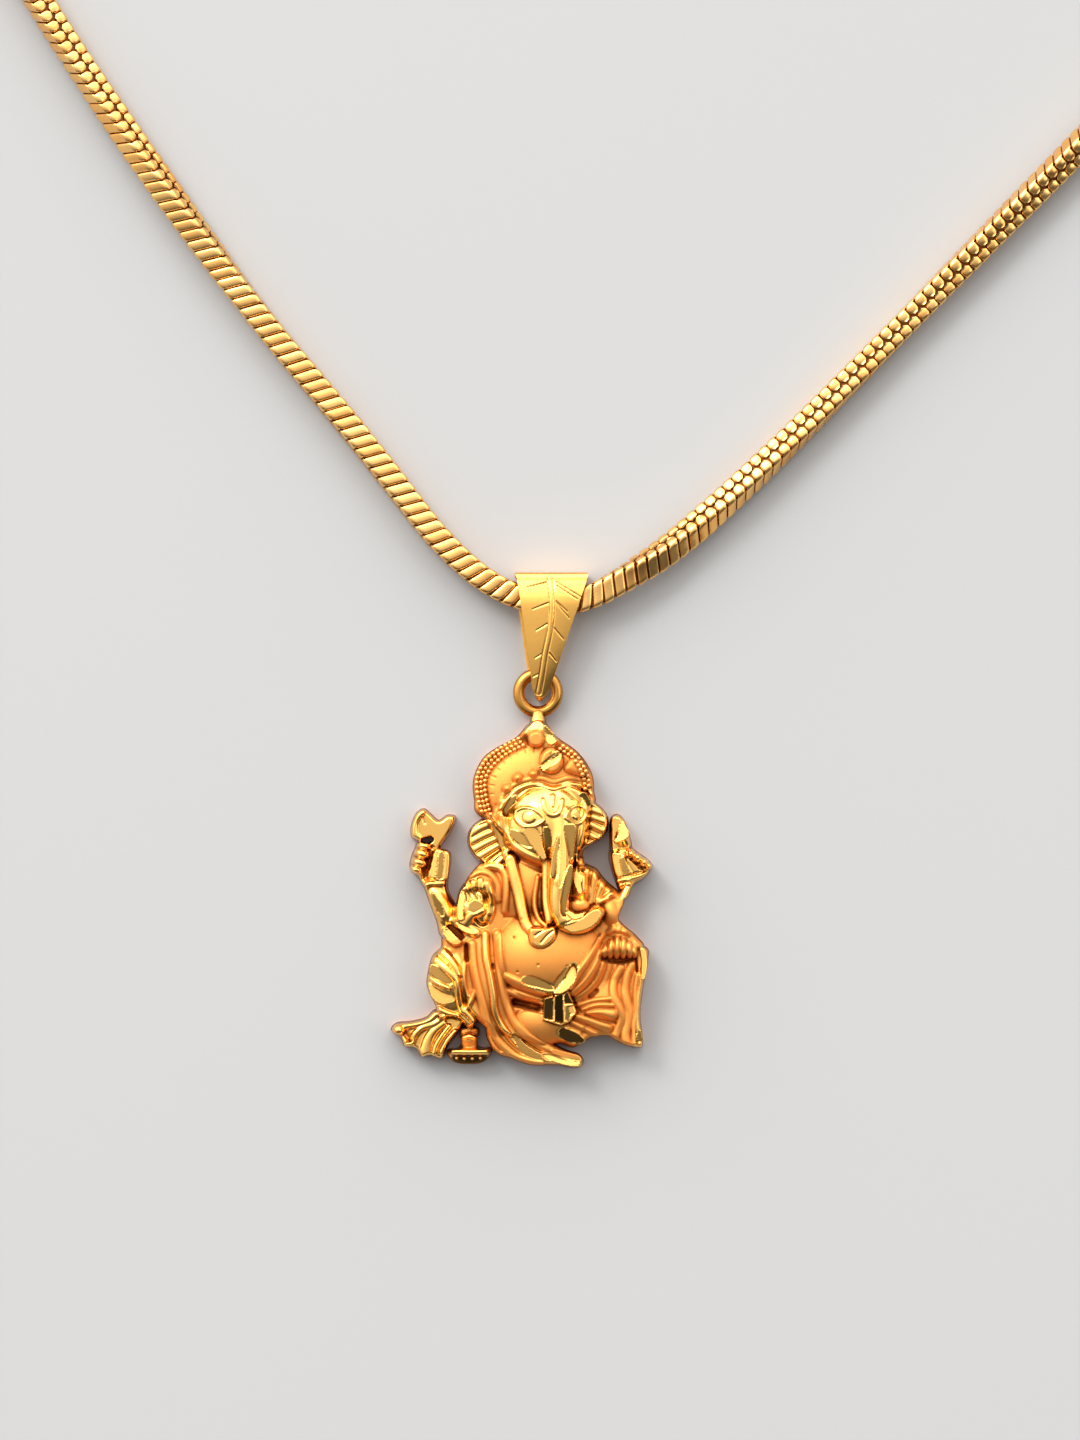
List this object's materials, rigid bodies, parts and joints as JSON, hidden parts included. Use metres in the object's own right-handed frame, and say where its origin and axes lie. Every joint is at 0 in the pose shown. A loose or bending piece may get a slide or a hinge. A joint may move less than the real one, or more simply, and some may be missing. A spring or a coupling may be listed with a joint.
{
  "type": "elephant-headed deity pendant on a chain",
  "caption": "Cast relief pendant of the traditional seated elephant-headed figure, with a folded leaf bail on a closed loop of square snake chain.",
  "frame": {"origin": "on the flat back of the cast figure, near the middle of the figure", "axes": "+Y from the figure's hem up towards the crown, the bail and the nape; +Z out of the figure's face, away from the surface it lies on; +X to the viewer's right"},
  "size_m": [0.1544, 0.2263, 0.0056],
  "materials": {
    "cast_gold": "sandblasted gold with diamond-cut bright facets and brown shade in the recesses",
    "polished_gold": "polished gold",
    "chain_gold": "bright drawn gold plates"
  },
  "bodies": {
    "root": {"figure": "cast_gold", "bail": "polished_gold", "chain": "chain_gold", "end_cap_left": "polished_gold", "end_cap_right": "polished_gold", "s_hook": "polished_gold"}
  },
  "joints": []
}
